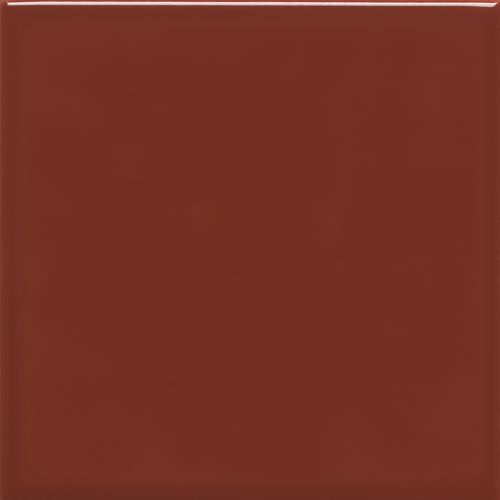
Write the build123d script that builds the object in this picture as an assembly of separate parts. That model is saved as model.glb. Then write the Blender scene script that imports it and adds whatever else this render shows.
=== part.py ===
from build123d import *

import os
from math import cos, radians, sin, tan

# One glazed porcelain mosaic tile, pressed and fired as a single piece and lying with its glazed face up.
# Millimetres, +Z up. The origin is at the centre of the bedding plane, the plane of the rib crests on the back.
# From that plane upwards the section is a back bevel, an upright land, a drafted side, a rounded lip and a
# shallow crown that runs into the flat field of the face. Grooves in the back leave parallel keying ribs.

# Driving dimensions
SIDE = 48.0  # over the upright land, the widest part of the tile
THICKNESS = 6.0  # from the rib crests to the flat field of the face
CORNER_RADIUS = 0.5  # of the outline in plan
FIELD_CORNER_RADIUS = 2.6  # of the flat field's outline in plan

# Face edge
LIP_RADIUS = 1.1  # rounded lip between the side and the crown
CROWN_WIDTH = 2.0  # from the lip to the flat field, in plan
CROWN_SLOPE = 15.0  # degrees, where the crown meets the lip

# Side
DRAFT_ANGLE = 2.5  # degrees, so that the tile leaves its die
LAND_HEIGHT = 1.0  # height of the upright land
BEVEL_INSET = 0.6  # back bevel, in plan
BEVEL_HEIGHT = 0.9

# Keying grooves in the back, which run out through the bevel
GROOVE_COUNT = 6
GROOVE_WIDTH = 3.0  # at the bedding plane
GROOVE_DEPTH = 0.7
GROOVE_DRAFT = 25.0  # degrees off upright, on each wall
GROOVE_ROUNDING = 0.25  # of the groove's floor corners
EDGE_RIB_WIDTH = 3.9  # of the two outer ribs, at the bedding plane

# Sections lofted through the face edge
CROWN_STEPS = 3
LIP_STEPS = 8


def crown_point(slope):
    """Distance outwards from the flat field, and drop below it, where the crown has that slope."""
    radius = CROWN_WIDTH / sin(radians(CROWN_SLOPE))
    return radius * sin(radians(slope)), radius * (1 - cos(radians(slope)))


def lip_point(slope):
    """Distance outwards from the flat field, and drop below it, where the lip has that slope."""
    run, drop = crown_point(CROWN_SLOPE)
    run += LIP_RADIUS * (sin(radians(slope)) - sin(radians(CROWN_SLOPE)))
    drop += LIP_RADIUS * (cos(radians(CROWN_SLOPE)) - cos(radians(slope)))
    return run, drop


BED_WIDTH = SIDE - 2 * BEVEL_INSET
LAND_TOP = BEVEL_HEIGHT + LAND_HEIGHT
SIDE_SLOPE = 90.0 - DRAFT_ANGLE
LIP_RUN, LIP_DROP = lip_point(SIDE_SLOPE)
SIDE_TOP = THICKNESS - LIP_DROP
DRAFT_RUN = (SIDE_TOP - LAND_TOP) * tan(radians(DRAFT_ANGLE))
FIELD_INSET = DRAFT_RUN + LIP_RUN


def outline(inset, height):
    """The tile's rounded square at a height, drawn in from its widest outline.

    The corner stays crisp over the lip and rounds off towards the flat field.
    """
    share = inset / FIELD_INSET
    corner = CORNER_RADIUS + (FIELD_CORNER_RADIUS - CORNER_RADIUS) * share**3
    across = SIDE - 2 * inset
    return Pos(0, 0, height) * RectangleRounded(across, across, corner)


def face_section(point):
    """The outline at a point of the face edge, given as distance outwards and drop."""
    run, drop = point
    return outline(FIELD_INSET - run, THICKNESS - drop)


def slopes(first, last, steps):
    """Evenly stepped slopes from the first to the last."""
    return [first + (last - first) * step / steps for step in range(steps + 1)]


def pressed_body():
    """The tile before its back is grooved: bevel, land, drafted side, lip and crown."""
    bed = RectangleRounded(BED_WIDTH, BED_WIDTH, CORNER_RADIUS)
    bevel = loft([bed, outline(0, BEVEL_HEIGHT)], ruled=True)
    land = extrude(outline(0, BEVEL_HEIGHT), LAND_HEIGHT)
    side = loft([outline(0, LAND_TOP), outline(DRAFT_RUN, SIDE_TOP)], ruled=True)
    lip = loft([face_section(lip_point(slope)) for slope in slopes(SIDE_SLOPE, CROWN_SLOPE, LIP_STEPS)])
    crown = loft([face_section(crown_point(slope)) for slope in slopes(CROWN_SLOPE, 0.0, CROWN_STEPS)])
    return bevel + land + side + lip + crown


def groove_cutter():
    """One groove along X, wider at its mouth so that the punch leaves it, and running out at both ends."""
    half_mouth = GROOVE_WIDTH / 2
    half_floor = half_mouth - GROOVE_DEPTH * tan(radians(GROOVE_DRAFT))
    mouth_left, mouth_right = (-half_mouth, 0), (half_mouth, 0)
    floor_left, floor_right = (-half_floor, GROOVE_DEPTH), (half_floor, GROOVE_DEPTH)
    section = make_face(Polyline(mouth_left, mouth_right, floor_right, floor_left, close=True))
    floor_corners = section.vertices().group_by(Axis.Y)[-1]
    section = fillet(floor_corners, GROOVE_ROUNDING)
    return extrude(Plane.YZ * section, SIDE, both=True)


def keyed_back(body):
    """Cuts the grooves, evenly spaced between the two outer ribs."""
    first_to_last = BED_WIDTH - 2 * EDGE_RIB_WIDTH - GROOVE_WIDTH
    pitch = first_to_last / (GROOVE_COUNT - 1)
    return body - GridLocations(0, pitch, 1, GROOVE_COUNT) * groove_cutter()


os.makedirs("parts", exist_ok=True)
tile = keyed_back(pressed_body())
export_step(tile, "parts/mosaic_tile.step")
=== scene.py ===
from collections import namedtuple
from math import cos, exp, pi, radians, sin, tan

import bpy
import numpy as np
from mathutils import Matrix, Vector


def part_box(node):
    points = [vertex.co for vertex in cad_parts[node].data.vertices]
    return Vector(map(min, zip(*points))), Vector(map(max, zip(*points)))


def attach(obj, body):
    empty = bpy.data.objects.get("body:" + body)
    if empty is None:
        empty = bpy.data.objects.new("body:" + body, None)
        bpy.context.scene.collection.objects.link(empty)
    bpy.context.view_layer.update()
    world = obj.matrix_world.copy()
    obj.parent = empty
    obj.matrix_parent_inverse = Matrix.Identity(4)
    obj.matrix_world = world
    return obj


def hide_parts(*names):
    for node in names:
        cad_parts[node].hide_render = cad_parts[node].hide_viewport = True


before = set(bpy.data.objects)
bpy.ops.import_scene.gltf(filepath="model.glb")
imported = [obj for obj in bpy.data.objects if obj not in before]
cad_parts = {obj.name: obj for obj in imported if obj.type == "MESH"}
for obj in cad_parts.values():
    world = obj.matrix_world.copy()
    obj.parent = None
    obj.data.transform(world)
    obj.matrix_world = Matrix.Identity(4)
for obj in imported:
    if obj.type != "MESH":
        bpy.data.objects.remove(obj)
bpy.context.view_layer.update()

# A glazed porcelain mosaic tile, lying glazed face up on a pale floor. Metres, in the frame's own axes.
MM = 0.001
NODE = "mosaic_tile"
node_low, node_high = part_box(NODE)

Wave = namedtuple("Wave", "length count seed")  # a smooth random field, as a sum of plane waves
Ring = namedtuple("Ring", "inset height corner thickness wander")  # of mesh points, round the tile's edge
Chart = namedtuple("Chart", "numbers places material")  # a grid of vertex numbers and their map places
PoolAndShade = namedtuple("PoolAndShade", "outward gain lean start breadth")  # glaze pooled along one side, with painted shade added to it

# Section of the tile, as in the solid
HALF = (node_high.x - node_low.x) / 2
THICKNESS = node_high.z - node_low.z
CORNER_RADIUS = 0.5 * MM
FIELD_CORNER_RADIUS = 2.6 * MM
LIP_RADIUS = 1.1 * MM
CROWN_WIDTH = 2.0 * MM
CROWN_SLOPE = radians(15.0)
DRAFT_ANGLE = radians(2.5)
LAND_HEIGHT = 1.0 * MM
BEVEL_INSET = 0.6 * MM
BEVEL_HEIGHT = 0.9 * MM
GROOVE_COUNT = 6
GROOVE_WIDTH = 3.0 * MM
GROOVE_DEPTH = 0.7 * MM
GROOVE_DRAFT = radians(25.0)
GROOVE_ROUNDING = 0.25 * MM
EDGE_RIB_WIDTH = 3.9 * MM

# Fine relief that the solid leaves out
CREST_ROUNDING = 0.15 * MM  # of the ribs' edges
BODY_INSET = 0.06 * MM  # the bare body lies this far inside the glaze
LINE_HEIGHT = 2.7 * MM  # mean height at which the glaze ends on the side
LINE_SWING = 0.16 * MM  # slow rise and fall of that line
LINE_SWING_WAVE = Wave(11 * MM, 9, seed=3)
LINE_RIPPLE = 0.05 * MM
LINE_RIPPLE_WAVE = Wave(2.6 * MM, 14, seed=4)
LINE_CORNER_LIFT = 0.25 * MM  # the glaze stops higher at the corners
LINE_CORNER_REACH = 2.5 * MM
EDGE_WANDER = 0.03 * MM  # how far the glazed edge strays inwards from a straight line
EDGE_WANDER_WAVE = Wave(17 * MM, 9, seed=5)
GLAZE_DEPTH = 0.0025 * MM  # slow undulation of the fired glaze
GLAZE_WAVE = Wave(5.5 * MM, 24, seed=6)
GLAZE_RIPPLE_SHARE = 0.5
GLAZE_RIPPLE_WAVE = Wave(2.4 * MM, 24, seed=7)
WAVE_SPREAD = (0.7, 1.5)  # shortest and longest of the waves in a field, as shares of their length

# The lip's two corners on the +Y side, left at -X and right at +X. For each slope of the face edge: how far
# it draws in towards the corner, and how much smaller its radius in plan is, or larger where negative.
LIP_DRAW_REACH = 3.44 * MM  # from where the straight side ends
LIP_DRAW_POWER = 1.2  # of its growth over that reach
LIP_SLOPES = np.radians((0.0, 15.0, 22.0, 38.0, 60.0, 87.5))
LEFT_DRAW = np.multiply((0.0, 0.042, 0.048, 0.070, 0.055, 0.0), MM)
LEFT_CRISPNESS = np.multiply((0.0, 0.28, 0.265, -0.10, 0.0, 0.0), MM)
RIGHT_DRAW = np.multiply((0.0, 0.155, 0.15, 0.11, 0.07, 0.0), MM)
RIGHT_CRISPNESS = np.multiply((0.0, -0.14, -0.14, -0.18, -0.05, 0.0), MM)

# The glaze's lower rim: height above the line, how far it stands out from the side, and thickness
RIM = (
    (0.55 * MM, 0.000 * MM, 1.0),
    (0.32 * MM, 0.010 * MM, 1.15),
    (0.20 * MM, 0.020 * MM, 1.3),
    (0.11 * MM, 0.024 * MM, 1.25),
    (0.05 * MM, 0.016 * MM, 0.9),
    (0.015 * MM, -0.006 * MM, 0.5),
    (0.0 * MM, -0.030 * MM, 0.2),
)

# Thickness of the glaze, of which 1 is that of the flat field. It gathers on the crown, and painted shade
# adds to it
# there: the darker crown band is partly pooled glaze and partly painted shade. For each side: how much at
# its middle, how much more at its end at -X or -Y, how far in from the edge, and how broadly.
POOLS_AND_SHADE = (
    PoolAndShade((1, 0), gain=0.38, lean=0.06, start=0.90 * MM, breadth=1.0),
    PoolAndShade((0, 1), gain=0.41, lean=0.12, start=0.90 * MM, breadth=1.2),
    PoolAndShade((-1, 0), gain=0.25, lean=0.24, start=0.90 * MM, breadth=1.4),
    PoolAndShade((0, -1), gain=0.17, lean=0.17, start=0.55 * MM, breadth=1.0),
)
POOL_AND_SHADE_PLACES = (0.0, 0.35 * MM, 0.7 * MM, 1.5 * MM)  # inwards from its start, at a breadth of 1
POOL_AND_SHADE_SHAPE = (0.0, 1.0, 1.0, 0.0)
LIP_LOSS = 0.55  # it breaks over the lip, round this slope
BREAK_SLOPE = radians(60.0)
BREAK_SPREAD = radians(14.5)
CORNER_LOSS = 0.25  # and is thinner still there at the tile's corners
CORNER_REACH = 2.0 * MM

# Glaze colours, by shares of the thickness at which the ramp ends; its darker stops also give the painted
# shade on the crown
RAMP_THICKNESS = 2.0
GLAZE_COLORS = (
    (0.06, (0.370, 0.1050, 0.0600)),
    (0.22, (0.315, 0.0580, 0.0330)),
    (0.38, (0.228, 0.0340, 0.0170)),
    (0.50, (0.177, 0.0251, 0.0122)),
    (0.80, (0.140, 0.0222, 0.0104)),
)
GLAZE_ROUGHNESS = (0.035, 0.060)
CLOUD_SIZE = 6.0 * MM
CLOUD_DETAIL = 3.0
CLOUD_SWING = 0.06  # of the colour ramp, either way
SMEAR_SIZE = 1.8 * MM  # of the patches in which the gloss varies
SMEAR_DETAIL = 2.0
SMEAR_RANGE = (0.3, 0.7)  # of the noise, which takes the gloss from one end to the other
SPECK_SPACING = 4.0 * MM
SPECK_RADIUS = 0.42 * MM
SPECK_COLOR = (0.148, 0.0140, 0.0065)
SPECK_STRENGTH = 0.25

# Both materials
NOISE_ROUGHNESS = 0.55
SPECK_CORE = 0.5  # of a speck's radius: its rim is soft from there outwards

# Bare body
BODY_COLORS = ((0.3, (0.60, 0.55, 0.47)), (0.7, (0.68, 0.63, 0.55)))
BODY_ROUGHNESS = 0.8
BODY_CLOUD = 2.5 * MM
BODY_DETAIL = 3.0
GRAIN_SIZE = 0.16 * MM
GRAIN_DETAIL = 2.0
GRAIN_HEIGHT = 0.03 * MM
GRAIN_STRENGTH = 0.3
GRIT_SPACING = 1.4 * MM
GRIT_RADIUS = 0.09 * MM
GRIT_COLOR = (0.30, 0.22, 0.15)
GRIT_STRENGTH = 0.6
FLUSH_COLOR = (0.36, 0.16, 0.11)  # glaze mist that settled under the line
FLUSH_REACH = 0.9 * MM
FLUSH_STRENGTH = 0.45
FLUSH_PATCH = 0.5 * MM
FLUSH_DETAIL = 2.0
FLUSH_RANGE = (0.35, 0.65)  # of the noise, which takes the flush from its weakest to its strongest
FLUSH_LEVELS = (0.2, 1.0)
FAR_BELOW = 9 * MM  # stands for the depth under the line where the flush has no reach

# Mesh steps
ARC_STEPS = 6  # round half of a plan corner
CROWN_STEPS = 12
LIP_STEPS = 32
SIDE_STEPS = 4
LAND_STEPS = 3
BEVEL_STEPS = 4
ROW_STEP = 0.42 * MM  # along the two sides that the grooves don't run out of
CREST_STEPS = 8  # across a rib's crest
FLOOR_STEPS = 3  # across half of a groove's floor
ROUNDING_STEPS = 4
SUPPORT = 0.04 * MM  # distance of the rings that keep an edge crisp
FILL_BLEND = 3.0 * MM  # depth over which the flat faces take up their outline

# Materials of the mesh, by number
GLAZED, BARE = 0, 1

# Places in the texture map: the face and the back are squares, and each side is a strip
MAP_NAME = "OFBake"
FACE_MAP = (0.005, 0.005, 0.64)  # left, bottom and size
BACK_MAP = (0.655, 0.005, 0.34)
STRIP_LEFT = 0.005
STRIP_BOTTOM = 0.66
STRIP_LENGTH = 0.985
STRIP_HEIGHT = 0.075
STRIP_PITCH = 0.084

# Colour sockets of a mix node, by number because its other kinds share their names
MIX_FIRST, MIX_SECOND, MIX_RESULT = 6, 7, 2

# Camera, looking straight down
VIEW_WIDTH = 46.95 * MM  # of the face, across the picture
VIEW_MIDDLE = (-0.14 * MM, 0.114 * MM)  # the picture's middle on the face
CAMERA_HEIGHT = 400 * MM  # above the face
CAMERA_ROLL = radians(0.13)
SENSOR_WIDTH = 36.0

# Softbox behind the tile, mirrored in the lip: panels by name, lowest and highest elevation, and radiance
SOFTBOX_DISTANCE = 300 * MM
SOFTBOX_WIDTH = 215 * MM
SOFTBOX_PANELS = (("softbox_low", 15, 25, 23.0), ("softbox_high", 25, 46, 12.5))

# Broad lights by name, level, azimuth, elevation and breadth. Azimuth 0 is from -Y and 90 from +X.
BROAD_LIGHTS = (("key", 0.72, 180, 78, 50), ("fill", 0.10, 90, 15, 30), ("rim", 0.42, 180, 5, 10))

# Surroundings: brightness by the height of a direction, with a dark spot overhead where the camera stands,
# and how much they brighten towards one side
WALL_LEVELS = (
    (0.0, 0.06),
    (0.05, 0.08),
    (0.10, 0.28),
    (0.15, 0.34),
    (0.22, 0.335),
    (0.40, 0.287),
    (0.57, 0.25),
    (0.714, 0.225),
    (0.83, 0.215),
    (0.94, 0.165),
    (0.9972, 0.19),
    (0.9980, 0.10),
)
WALL_TINT = (1.02, 1.0, 0.9)
WALL_LEAN = (0.0, 0.3, 0.0)
FLOOR_LEVEL = 0.8
FLOOR_MIRRORED = 0.22  # the floor as the glaze mirrors it
FLOOR_REACH = 6.0  # metres, from the middle to each side
BACKDROP = (0.807, 0.805, 0.784, 1.0)  # what the camera sees behind the floor, the floor's own shade


def crown_point(slope):
    """Distance outwards from the flat field, and drop below it, where the crown has that slope."""
    radius = CROWN_WIDTH / sin(CROWN_SLOPE)
    return radius * sin(slope), radius * (1 - cos(slope))


def lip_point(slope):
    """Distance outwards from the flat field, and drop below it, where the lip has that slope."""
    run, drop = crown_point(CROWN_SLOPE)
    run += LIP_RADIUS * (sin(slope) - sin(CROWN_SLOPE))
    drop += LIP_RADIUS * (cos(CROWN_SLOPE) - cos(slope))
    return run, drop


SIDE_SLOPE = pi / 2 - DRAFT_ANGLE
LAND_TOP = BEVEL_HEIGHT + LAND_HEIGHT
LIP_RUN, LIP_DROP = lip_point(SIDE_SLOPE)
SIDE_TOP = THICKNESS - LIP_DROP
DRAFT_RUN = (SIDE_TOP - LAND_TOP) * tan(DRAFT_ANGLE)
FIELD_INSET = DRAFT_RUN + LIP_RUN
BED_HALF = HALF - BEVEL_INSET
STRAIGHT_REACH = BED_HALF - BODY_INSET - CORNER_RADIUS
GROOVE_PITCH = (2 * BED_HALF - 2 * EDGE_RIB_WIDTH - GROOVE_WIDTH) / (GROOVE_COUNT - 1)


def waves(points, wave):
    """A smooth random field at these points, mostly from -1 to 1."""
    random = np.random.default_rng(wave.seed)
    directions = random.normal(size=(wave.count, points.shape[1]))
    directions /= np.linalg.norm(directions, axis=1)[:, None]
    lengths = wave.length * random.uniform(*WAVE_SPREAD, wave.count)
    phases = random.uniform(0, 2 * pi, wave.count)
    turns = points @ (directions / lengths[:, None]).T * 2 * pi
    return np.cos(turns + phases).sum(axis=1) / np.sqrt(2 * wave.count)


def half_groove():
    """Distance from a groove's middle, and height, from the middle of its floor to the crest of the rib."""
    turn = pi / 2 - GROOVE_DRAFT
    half_floor = GROOVE_WIDTH / 2 - GROOVE_DEPTH * tan(GROOVE_DRAFT)
    floor_end = half_floor - GROOVE_ROUNDING * tan(turn / 2)
    crest_start = GROOVE_WIDTH / 2 + CREST_ROUNDING * tan(turn / 2)
    arc = np.linspace(0, turn, ROUNDING_STEPS + 1)
    across = [
        np.linspace(0, floor_end, FLOOR_STEPS, endpoint=False),
        floor_end + GROOVE_ROUNDING * np.sin(arc),
        crest_start - CREST_ROUNDING * np.sin(arc[::-1]),
    ]
    height = [
        np.full(FLOOR_STEPS, GROOVE_DEPTH),
        GROOVE_DEPTH - GROOVE_ROUNDING * (1 - np.cos(arc)),
        CREST_ROUNDING * (1 - np.cos(arc[::-1])),
    ]
    return np.concatenate(across), np.concatenate(height)


def grooved_rows():
    """Y and height of the mesh rows across the back: each groove's section, and even rows on the crests."""
    across, height = half_groove()
    whole_across = np.concatenate([-across[:0:-1], across])
    whole_height = np.concatenate([height[:0:-1], height])
    rows, heights = [], []
    start = -STRAIGHT_REACH
    for index in range(GROOVE_COUNT):
        centre = GROOVE_PITCH * (index - (GROOVE_COUNT - 1) / 2)
        rows.append(np.linspace(start, centre - across[-1], CREST_STEPS, endpoint=False))
        heights.append(np.zeros(CREST_STEPS))
        rows.append(centre + whole_across[:-1])
        heights.append(whole_height[:-1])
        start = centre + across[-1]
    rows.append(np.linspace(start, STRAIGHT_REACH, CREST_STEPS + 1))
    heights.append(np.zeros(CREST_STEPS + 1))
    return np.concatenate(rows), np.concatenate(heights)


def plain_rows():
    """Even rows along the two sides that the grooves don't run out of, at no height."""
    steps = round(2 * STRAIGHT_REACH / ROW_STEP)
    return np.linspace(-STRAIGHT_REACH, STRAIGHT_REACH, steps + 1), np.zeros(steps + 1)


class Columns:
    """The mesh columns round the tile, counter-clockwise from the middle of the corner at +X and -Y.

    Each of the four sides starts and ends in the middle of a corner. A column is either on the straight
    part of a side, at a share of its length, or on a corner's arc, where only its direction matters.
    """

    def __init__(self):
        before = np.linspace(-pi / 4, 0, ARC_STEPS, endpoint=False)
        after = -before[:0:-1]
        angles, shares, arcs, floors = [], [], [], []
        self.starts = [0]
        for quarter, (rows, heights) in enumerate([grooved_rows(), plain_rows()] * 2):
            turned = quarter * pi / 2
            angles += [turned + before, np.full(len(rows), turned), turned + after]
            shares += [np.zeros(len(before)), rows / STRAIGHT_REACH, np.zeros(len(after))]
            arcs += [np.ones(len(before), bool), np.zeros(len(rows), bool), np.ones(len(after), bool)]
            floors += [np.zeros(len(before)), heights, np.zeros(len(after))]
            self.starts.append(self.starts[-1] + len(before) + len(rows) + len(after))
        angle = np.concatenate(angles)
        self.normal = np.stack([np.cos(angle), np.sin(angle)], axis=1)
        self.tangent = np.stack([-np.sin(angle), np.cos(angle)], axis=1)
        self.share = np.concatenate(shares)
        self.on_arc = np.concatenate(arcs)
        self.floor = np.concatenate(floors)
        self.count = len(angle)

    def side(self, quarter, grid):
        """One side's part of a ring or of a stack of rings, with the middles of both its corners."""
        closed = np.concatenate([grid, grid[..., :1]], axis=-1)
        return closed[..., self.starts[quarter] : self.starts[quarter + 1] + 1]

    def plan(self, inset, corner):
        """Plan points of the rounded square drawn in by an inset. Inset and radius may differ by column."""
        half = np.broadcast_to(HALF - inset, self.count)
        corner = np.broadcast_to(corner, self.count)
        straight = np.minimum(half - corner, STRAIGHT_REACH)
        on_side = self.normal * half[:, None] + self.tangent * (self.share * straight)[:, None]
        on_corner = np.sign(self.normal) * (half - corner)[:, None] + self.normal * corner[:, None]
        return np.where(self.on_arc[:, None], on_corner, on_side)

    def corner_nearness(self, reach):
        """1 at the tile's corners, falling to 0 at this distance from them."""
        plan = np.abs(self.plan(0.0, CORNER_RADIUS))
        return np.clip(1 - (HALF - plan.min(axis=1)) / reach, 0, 1)

    def end_nearness(self, reach):
        """1 on the corners and where the straight parts of the sides end, falling to 0 at this distance."""
        distance = np.where(self.on_arc, 0.0, 1 - np.abs(self.share)) * STRAIGHT_REACH
        return np.clip(1 - distance / reach, 0, 1)

    def by_corner(self, slope, left, right):
        """What two tables give for a slope, next to the corners at +Y, and 0 next to those at -Y."""
        plan = self.plan(0.0, CORNER_RADIUS)
        at_left, at_right = (np.interp(slope, LIP_SLOPES, table) for table in (left, right))
        return np.where(plan[:, 1] > 0, np.where(plan[:, 0] < 0, at_left, at_right), 0.0)


def corner_at(inset):
    """Plan corner radius of the face edge where it is drawn in this far."""
    return CORNER_RADIUS + (FIELD_CORNER_RADIUS - CORNER_RADIUS) * (inset / FIELD_INSET) ** 3


def glaze_line(columns):
    """Height at which the glaze ends, column by column."""
    plan = columns.plan(0.0, CORNER_RADIUS)
    swing = LINE_SWING * waves(plan, LINE_SWING_WAVE)
    ripple = LINE_RIPPLE * waves(plan, LINE_RIPPLE_WAVE)
    lift = LINE_CORNER_LIFT * columns.corner_nearness(LINE_CORNER_REACH) ** 2
    return LINE_HEIGHT + swing + ripple + lift


def pooled_glaze_and_shade(columns, inset):
    """How much thicker the glaze is on the crown than on the flat field, column by column: partly pooled
    glaze, partly painted shade.
    """
    plan = columns.plan(0.0, CORNER_RADIUS) / HALF
    pooled_and_shade = np.zeros(columns.count)
    for pool_and_shade in POOLS_AND_SHADE:
        facing = np.clip(columns.normal @ pool_and_shade.outward, 0, 1) ** 2
        along = plan @ np.abs(pool_and_shade.outward[::-1])
        shape = np.interp((inset - pool_and_shade.start) / pool_and_shade.breadth, POOL_AND_SHADE_PLACES, POOL_AND_SHADE_SHAPE)
        pooled_and_shade += facing * (pool_and_shade.gain - pool_and_shade.lean * along) * shape
    return pooled_and_shade


def glaze_thickness_and_shade(columns, inset, slope):
    """Thickness of the glaze on the face edge: it gathers on the crown, with painted shade added there, and
    breaks over the lip.
    """
    loss = LIP_LOSS + CORNER_LOSS * columns.corner_nearness(CORNER_REACH)
    broken = loss * exp(-(((slope - BREAK_SLOPE) / BREAK_SPREAD) ** 2))
    return 1 + pooled_glaze_and_shade(columns, inset) - broken


def face_edge_rings(columns):
    """Crown and lip, from the flat field out to the side."""
    crown = np.linspace(0, CROWN_SLOPE, CROWN_STEPS, endpoint=False)
    lip = np.linspace(CROWN_SLOPE, SIDE_SLOPE, LIP_STEPS + 1)
    facing = np.clip(columns.normal[:, 1], 0, 1)
    nearness = columns.end_nearness(LIP_DRAW_REACH) ** LIP_DRAW_POWER
    rings = []
    for slope in [*crown, *lip]:
        run, drop = crown_point(slope) if slope < CROWN_SLOPE else lip_point(slope)
        inset = FIELD_INSET - run
        thickness = glaze_thickness_and_shade(columns, inset, slope)
        wander = min(slope / CROWN_SLOPE, 1)
        draw = facing * columns.by_corner(slope, LEFT_DRAW, RIGHT_DRAW)
        corner = corner_at(inset) - draw - columns.by_corner(slope, LEFT_CRISPNESS, RIGHT_CRISPNESS)
        rings.append(Ring(inset + draw * nearness, THICKNESS - drop, corner, thickness, wander))
    return rings


def side_rings(line):
    """Glazed side and the glaze's rim, from the lip down to the glaze line."""
    rings = []
    rim_top = line + RIM[0][0]
    for step in range(1, SIDE_STEPS):
        height = SIDE_TOP + (rim_top - SIDE_TOP) * step / SIDE_STEPS
        rings.append(Ring((height - LAND_TOP) * tan(DRAFT_ANGLE), height, CORNER_RADIUS, 1.0, 1.0))
    for above, proud, thickness in RIM:
        height = line + above
        inset = (height - LAND_TOP) * tan(DRAFT_ANGLE) - proud
        rings.append(Ring(inset, height, CORNER_RADIUS, thickness, 1.0))
    return rings


def body_rings(line, bed):
    """Bare side, land and back bevel, from just under the glaze line down to the bed."""
    rings = []
    top, bottom = line - SUPPORT, BEVEL_HEIGHT + SUPPORT
    for step in range(LAND_STEPS + 1):
        height = top + (bottom - top) * step / LAND_STEPS
        draft = np.maximum(height - LAND_TOP, 0) * tan(DRAFT_ANGLE)
        rings.append(Ring(draft + BODY_INSET, height, CORNER_RADIUS, 0.0, 0.0))
    crisp = SUPPORT / BEVEL_HEIGHT
    for share in [0.0, crisp, *np.arange(1, BEVEL_STEPS) / BEVEL_STEPS, 1 - crisp, 1.0]:
        height = BEVEL_HEIGHT + (bed - BEVEL_HEIGHT) * share
        inset = BEVEL_INSET * (1 - height / BEVEL_HEIGHT) + BODY_INSET
        rings.append(Ring(inset, height, CORNER_RADIUS, 0.0, 0.0))
    return rings


def edge_share(coordinate):
    """1 or -1 at the outermost rows, falling to 0 over the blend."""
    edge = np.abs(coordinate).max()
    share = np.clip((np.abs(coordinate) - edge + FILL_BLEND) / FILL_BLEND, 0, 1)
    return np.sign(coordinate) * share**2


def filled(columns, plan, edge_numbers, first_number):
    """Plan points inside a ring, on rows and columns that bend to meet it, and the grid's vertex numbers.

    The ring is alike on opposite sides. The grid runs along X and then along Y, and takes in the ring.
    """
    right = np.stack([columns.side(0, plan[:, axis]) for axis in (0, 1)], axis=1)
    top = np.stack([columns.side(1, plan[:, axis]) for axis in (0, 1)], axis=1)[::-1]
    column_x, row_y = top[:, 0], right[:, 1]
    out_x, out_y = right[:, 0] - right[0, 0], top[:, 1] - top[0, 1]
    x = column_x[:, None] + edge_share(column_x)[:, None] * out_x[None, :]
    y = row_y[None, :] + edge_share(row_y)[None, :] * out_y[:, None]
    grid = np.stack([x, y], axis=2)

    numbers = np.empty(x.shape, dtype=int)
    inner = numbers[1:-1, 1:-1]
    inner[:] = first_number + np.arange(inner.size).reshape(inner.shape)
    numbers[-1, :] = columns.side(0, edge_numbers)
    numbers[::-1, -1] = columns.side(1, edge_numbers)
    numbers[0, ::-1] = columns.side(2, edge_numbers)
    numbers[:, 0] = columns.side(3, edge_numbers)
    return grid[1:-1, 1:-1].reshape(-1, 2), numbers


def quads(grid):
    """The four corners of every cell of a grid of numbers or of places."""
    corners = np.stack([grid[:-1, :-1], grid[1:, :-1], grid[1:, 1:], grid[:-1, 1:]], axis=2)
    return corners.reshape(-1, 4, *grid.shape[2:])


def square_places(points, square):
    """Places in a square of the texture map, by plan."""
    left, bottom, size = square
    return np.array([left, bottom]) + (points[..., :2] / HALF + 1) / 2 * size


def strip_places(points, quarter):
    """Places in a side's strip of the texture map, by distance along the rings and down the section."""
    along = np.linalg.norm(np.diff(points[-1], axis=0, prepend=points[-1][:1]), axis=1).cumsum()
    down = np.linalg.norm(np.diff(points, axis=0, prepend=points[:1]), axis=2).cumsum(axis=0)
    u = STRIP_LEFT + STRIP_LENGTH * along / along[-1]
    v = STRIP_BOTTOM + STRIP_PITCH * quarter + STRIP_HEIGHT * (1 - down / down.max())
    return np.stack([np.broadcast_to(u, v.shape), v], axis=2)


def edge_charts(columns, points, edge_numbers, glazed_count):
    """Charts of the four sides: face edge, glazed side, and bare side with its bevel."""
    face_edge = CROWN_STEPS + LIP_STEPS // 2
    line = glazed_count - 1
    charts = []
    for quarter in range(4):
        numbers = columns.side(quarter, edge_numbers)
        top, glazed, bare = numbers[: face_edge + 1], numbers[face_edge : line + 1], numbers[line:]
        places = strip_places(points[numbers[face_edge:]], quarter)
        charts.append(Chart(top, square_places(points[top], FACE_MAP), GLAZED))
        charts.append(Chart(glazed, places[: len(glazed)], GLAZED))
        charts.append(Chart(bare, places[len(glazed) - 1 :], BARE))
    return charts


def mesh_of(points, charts):
    """A smooth mesh with the charts' faces, materials and map."""
    faces = [quads(chart.numbers) for chart in charts]
    mesh = bpy.data.meshes.new("glazed_mosaic_tile")
    mesh.from_pydata(points, [], np.concatenate(faces).tolist())
    materials = np.repeat([chart.material for chart in charts], [len(group) for group in faces])
    mesh.polygons.foreach_set("material_index", materials)
    mesh.polygons.foreach_set("use_smooth", np.ones(len(materials), dtype=bool))
    layer = mesh.uv_layers.new(name=MAP_NAME)
    layer.uv.foreach_set("vector", np.concatenate([quads(chart.places) for chart in charts]).ravel())
    mesh.update()
    return mesh


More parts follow.
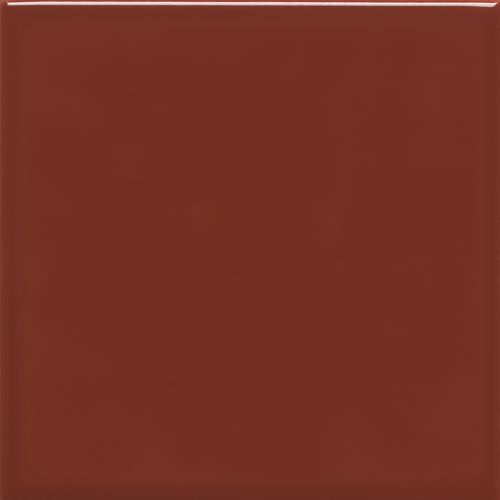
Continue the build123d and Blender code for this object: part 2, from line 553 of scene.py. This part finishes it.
def tile_mesh():
    """The whole tile as one closed mesh, glazed down to its line and bare below."""
    columns = Columns()
    line = glaze_line(columns)
    glazed = face_edge_rings(columns) + side_rings(line)
    rings = glazed + body_rings(line, columns.floor)
    stray = (waves(columns.plan(0.0, CORNER_RADIUS), EDGE_WANDER_WAVE) + 1) / 2
    wander = EDGE_WANDER * np.clip(stray, 0, 1)
    plans = [columns.plan(ring.inset + ring.wander * wander, ring.corner) for ring in rings]
    heights = [np.broadcast_to(ring.height, columns.count) for ring in rings]
    edge_points = np.stack([np.column_stack(pair) for pair in zip(plans, heights)])
    edge_numbers = np.arange(len(rings) * columns.count).reshape(len(rings), columns.count)

    field, field_numbers = filled(columns, plans[0], edge_numbers[0], edge_numbers.size)
    bed, bed_numbers = filled(columns, plans[-1], edge_numbers[-1], edge_numbers.size + len(field))
    field_points = np.column_stack([field, np.full(len(field), THICKNESS)])
    bed_rows = columns.side(0, columns.floor)[1:-1]
    bed_points = np.column_stack([bed, np.tile(bed_rows, len(bed) // len(bed_rows))])
    points = np.concatenate([edge_points.reshape(-1, 3), field_points, bed_points])

    field_chart = Chart(field_numbers, square_places(points[field_numbers], FACE_MAP), GLAZED)
    bed_places = square_places(points[bed_numbers], BACK_MAP)
    bed_chart = Chart(bed_numbers.T, bed_places.transpose(1, 0, 2), BARE)
    sides = edge_charts(columns, points, edge_numbers, len(glazed))
    mesh = mesh_of(points, [field_chart, bed_chart, *sides])

    thickness = np.ones(len(points))
    by_ring = [np.broadcast_to(ring.thickness, columns.count) for ring in rings]
    thickness[: edge_numbers.size] = np.concatenate(by_ring)
    # the glaze thickness carries the painted shade on the crown as well
    store(mesh, "glaze_thickness_and_shade", thickness)
    below = np.full(len(points), FAR_BELOW)
    below[: edge_numbers.size] = (line - np.stack(heights)).ravel()
    store(mesh, "below_glaze", below)
    undulate(mesh, points)
    return mesh


def store(mesh, name, values):
    """Keeps one number for every vertex, for a material to read."""
    mesh.attributes.new(name, "FLOAT", "POINT").data.foreach_set("value", values.astype(np.float32))


def undulate(mesh, points):
    """Sinks the surface by a few thousandths of a millimetre, in the slow waves of a fired glaze."""
    normals = np.empty(points.size, dtype=np.float32)
    mesh.vertex_normals.foreach_get("vector", normals)
    wave = waves(points, GLAZE_WAVE) + GLAZE_RIPPLE_SHARE * waves(points, GLAZE_RIPPLE_WAVE)
    moved = points + normals.reshape(-1, 3) * (GLAZE_DEPTH * (wave - wave.max()))[:, None]
    bed = points[:, 2] < SUPPORT
    moved[bed] = points[bed]
    mesh.vertices.foreach_set("co", moved.ravel())
    mesh.update()


def add(tree, kind, inputs=None, **settings):
    """A new node with these settings. Each input gets a value or a link from another node's output."""
    node = tree.nodes.new(kind)
    for name, value in settings.items():
        setattr(node, name, value)
    for name, value in (inputs or {}).items():
        plug(tree, node.inputs[name], value)
    return node


def color_ramp(tree, factor, stops):
    """A colour ramp through these places and colours."""
    node = add(tree, "ShaderNodeValToRGB", {"Fac": factor})
    elements = node.color_ramp.elements
    while len(elements) < len(stops):
        elements.new(1.0)
    for element, (place, color) in zip(elements, stops):
        element.position = place
        element.color = (*color, 1.0)
    return node.outputs["Color"]


def plug(tree, socket, value):
    """Gives a socket a value, or links it from another node's output."""
    if isinstance(value, bpy.types.NodeSocket):
        tree.links.new(value, socket)
    else:
        socket.default_value = value


def calculate(tree, operation, first, second):
    """A sum, product or the like of two values."""
    node = add(tree, "ShaderNodeMath", operation=operation)
    plug(tree, node.inputs[0], first)
    plug(tree, node.inputs[1], second)
    return node.outputs["Value"]


def spread(tree, value, source, target):
    """A value carried over from one range to another and kept inside it."""
    inputs = {"Value": value, "From Min": source[0], "From Max": source[1]}
    inputs |= {"To Min": target[0], "To Max": target[1]}
    return add(tree, "ShaderNodeMapRange", inputs).outputs["Result"]


def mixed(tree, factor, first, second):
    """Two colours mixed by a factor from 0 to 1."""
    node = add(tree, "ShaderNodeMix", data_type="RGBA")
    plug(tree, node.inputs["Factor"], factor)
    plug(tree, node.inputs[MIX_FIRST], first)
    plug(tree, node.inputs[MIX_SECOND], second)
    return node.outputs[MIX_RESULT]


def clouds(tree, place, size, detail):
    """Soft patches of about this size, from 0 to 1."""
    inputs = {"Vector": place, "Scale": 1 / size, "Detail": detail, "Roughness": NOISE_ROUGHNESS}
    return add(tree, "ShaderNodeTexNoise", inputs).outputs["Fac"]


def specks(tree, place, spacing, radius, strength):
    """Scattered round specks with soft rims: the strength inside one, 0 elsewhere."""
    cells = add(tree, "ShaderNodeTexVoronoi", {"Vector": place, "Scale": 1 / spacing})
    rim = radius / spacing
    return spread(tree, cells.outputs["Distance"], (rim, rim * SPECK_CORE), (0.0, strength))


def stored(tree, name):
    """The number kept for each vertex under this name."""
    return add(tree, "ShaderNodeAttribute", attribute_name=name).outputs["Fac"]


def new_material(name):
    """A material, its node tree, its shader and the place on the piece."""
    material = bpy.data.materials.new(name)
    material.use_nodes = True
    tree = material.node_tree
    place = add(tree, "ShaderNodeTexCoord").outputs["Object"]
    return material, tree, tree.nodes["Principled BSDF"], place


def red_glaze():
    """Glossy brick red, darker where the glaze pools and where shade is painted on the crown, lighter where
    it is thin, with a few faint specks.
    """
    material, tree, shader, place = new_material("red_glaze")
    # thicker glaze is darker in the ramp, so the painted shade on the crown comes through here too
    depth = calculate(tree, "DIVIDE", stored(tree, "glaze_thickness_and_shade"), RAMP_THICKNESS)
    cloud = clouds(tree, place, CLOUD_SIZE, CLOUD_DETAIL)
    swing = spread(tree, cloud, (0.0, 1.0), (-CLOUD_SWING, CLOUD_SWING))
    color = color_ramp(tree, calculate(tree, "ADD", depth, swing), GLAZE_COLORS)
    dots = specks(tree, place, SPECK_SPACING, SPECK_RADIUS, SPECK_STRENGTH)
    plug(tree, shader.inputs["Base Color"], mixed(tree, dots, color, (*SPECK_COLOR, 1.0)))
    smear = clouds(tree, place, SMEAR_SIZE, SMEAR_DETAIL)
    plug(tree, shader.inputs["Roughness"], spread(tree, smear, SMEAR_RANGE, GLAZE_ROUGHNESS))
    return material


def bare_porcelain():
    """Dry pressed body: warm off-white, finely grained and gritty, stained red just under the glaze."""
    material, tree, shader, place = new_material("bare_porcelain")
    color = color_ramp(tree, clouds(tree, place, BODY_CLOUD, BODY_DETAIL), BODY_COLORS)
    grit = specks(tree, place, GRIT_SPACING, GRIT_RADIUS, GRIT_STRENGTH)
    color = mixed(tree, grit, color, (*GRIT_COLOR, 1.0))
    mist = spread(tree, stored(tree, "below_glaze"), (FLUSH_REACH, 0.0), (0.0, FLUSH_STRENGTH))
    patches = clouds(tree, place, FLUSH_PATCH, FLUSH_DETAIL)
    flush = calculate(tree, "MULTIPLY", mist, spread(tree, patches, FLUSH_RANGE, FLUSH_LEVELS))
    plug(tree, shader.inputs["Base Color"], mixed(tree, flush, color, (*FLUSH_COLOR, 1.0)))
    shader.inputs["Roughness"].default_value = BODY_ROUGHNESS
    grain = clouds(tree, place, GRAIN_SIZE, GRAIN_DETAIL)
    relief = {"Strength": GRAIN_STRENGTH, "Distance": GRAIN_HEIGHT, "Height": grain}
    bump = add(tree, "ShaderNodeBump", relief)
    plug(tree, shader.inputs["Normal"], bump.outputs["Normal"])
    return material


def tile():
    """The tile's one piece, which stands for the solid."""
    mesh = tile_mesh()
    mesh.materials.append(red_glaze())
    mesh.materials.append(bare_porcelain())
    piece = bpy.data.objects.new("glazed_mosaic_tile", mesh)
    bpy.context.scene.collection.objects.link(piece)
    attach(piece, "root")
    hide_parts(NODE)


def grey(level):
    """A grey of this level."""
    return (level, level, level, 1.0)


def floor():
    """A matt pale floor, large enough to reach past every view."""
    mesh = bpy.data.meshes.new("floor")
    signs = [(-1, -1), (1, -1), (1, 1), (-1, 1)]
    mesh.from_pydata([(FLOOR_REACH * x, FLOOR_REACH * y, 0) for x, y in signs], [], [(0, 1, 2, 3)])
    material = bpy.data.materials.new("floor")
    material.use_nodes = True
    tree = material.node_tree
    tree.nodes.clear()
    mirrored = add(tree, "ShaderNodeLightPath").outputs["Is Glossy Ray"]
    color = mixed(tree, mirrored, grey(FLOOR_LEVEL), grey(FLOOR_MIRRORED))
    shader = add(tree, "ShaderNodeBsdfDiffuse", {"Color": color})
    add(tree, "ShaderNodeOutputMaterial", {"Surface": shader.outputs["BSDF"]})
    mesh.materials.append(material)
    plate = bpy.data.objects.new("floor", mesh)
    bpy.context.scene.collection.objects.link(plate)


def softbox(name, low, high, radiance):
    """A panel behind the tile between two elevations, seen in the glaze only."""
    bottom = THICKNESS + SOFTBOX_DISTANCE * tan(radians(low))
    top = THICKNESS + SOFTBOX_DISTANCE * tan(radians(high))
    data = bpy.data.lights.new(name, "AREA")
    data.shape = "RECTANGLE"
    data.size = SOFTBOX_WIDTH
    data.size_y = top - bottom
    data.energy = radiance * pi * data.size * data.size_y
    lamp = bpy.data.objects.new(name, data)
    lamp.location = (0, SOFTBOX_DISTANCE, (bottom + top) / 2)
    lamp.rotation_euler = (-pi / 2, 0, 0)
    lamp.visible_diffuse = False
    lamp.visible_camera = False
    bpy.context.scene.collection.objects.link(lamp)


def broad_light(name, level, azimuth, elevation, breadth):
    """Even light from one direction, which shades the surfaces and isn't mirrored.

    At level 1 and square to the light, a white surface renders as white.
    """
    data = bpy.data.lights.new(name, "SUN")
    data.energy = level * pi
    data.angle = radians(breadth)
    lamp = bpy.data.objects.new(name, data)
    lamp.rotation_euler = (radians(90 - elevation), 0, radians(azimuth))
    lamp.visible_glossy = False
    bpy.context.scene.collection.objects.link(lamp)


def studio_world():
    """Dim surroundings, brightest just above a dark horizon, and a pale backdrop for the camera alone."""
    world = bpy.data.worlds.new("studio")
    bpy.context.scene.world = world
    world.use_nodes = True
    tree = world.node_tree
    direction = add(tree, "ShaderNodeTexCoord").outputs["Generated"]
    rise = add(tree, "ShaderNodeSeparateXYZ", {"Vector": direction}).outputs["Z"]
    levels = [(height, np.multiply(level, WALL_TINT)) for height, level in WALL_LEVELS]
    walls = color_ramp(tree, rise, levels)
    lean = add(tree, "ShaderNodeVectorMath", {0: direction, 1: WALL_LEAN}, operation="DOT_PRODUCT")
    side = calculate(tree, "ADD", lean.outputs["Value"], 1.0)
    scaled = add(tree, "ShaderNodeVectorMath", {0: walls, "Scale": side}, operation="SCALE")
    camera_ray = add(tree, "ShaderNodeLightPath").outputs["Is Camera Ray"]
    seen = mixed(tree, camera_ray, scaled.outputs["Vector"], BACKDROP)
    plug(tree, tree.nodes["Background"].inputs["Color"], seen)


def camera():
    """A long lens over the tile, which takes in the face up to its lip."""
    data = bpy.data.cameras.new("camera")
    data.sensor_width = SENSOR_WIDTH
    data.lens = SENSOR_WIDTH * CAMERA_HEIGHT / VIEW_WIDTH
    eye = bpy.data.objects.new("camera", data)
    eye.location = (*VIEW_MIDDLE, THICKNESS + CAMERA_HEIGHT)
    eye.rotation_euler = (0, 0, CAMERA_ROLL)
    bpy.context.scene.collection.objects.link(eye)
    bpy.context.scene.camera = eye


tile()
floor()
for panel in SOFTBOX_PANELS:
    softbox(*panel)
for light in BROAD_LIGHTS:
    broad_light(*light)
studio_world()
camera()
bpy.context.scene.view_settings.view_transform = "Standard"
